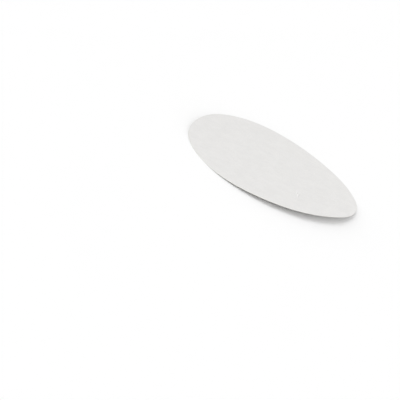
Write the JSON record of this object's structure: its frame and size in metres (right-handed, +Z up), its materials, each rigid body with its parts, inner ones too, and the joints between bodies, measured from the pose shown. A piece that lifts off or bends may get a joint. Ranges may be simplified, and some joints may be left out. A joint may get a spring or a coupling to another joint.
{
  "type": "filter paper disc",
  "caption": "Round sheet of plain white filter paper, lying loose with a slight curl, that a liquid is poured through to hold back solids.",
  "frame": {"origin": "under the middle of the disc, on the surface that the disc lies on", "axes": "+Z up, through the paper; X across the curl, towards the two raised edges; Y along the flat strip"},
  "size_m": [0.09, 0.09, 0.0032],
  "materials": {
    "filter_paper": "matte"
  },
  "bodies": {
    "root": {"filter_disc": "filter_paper"}
  },
  "joints": []
}
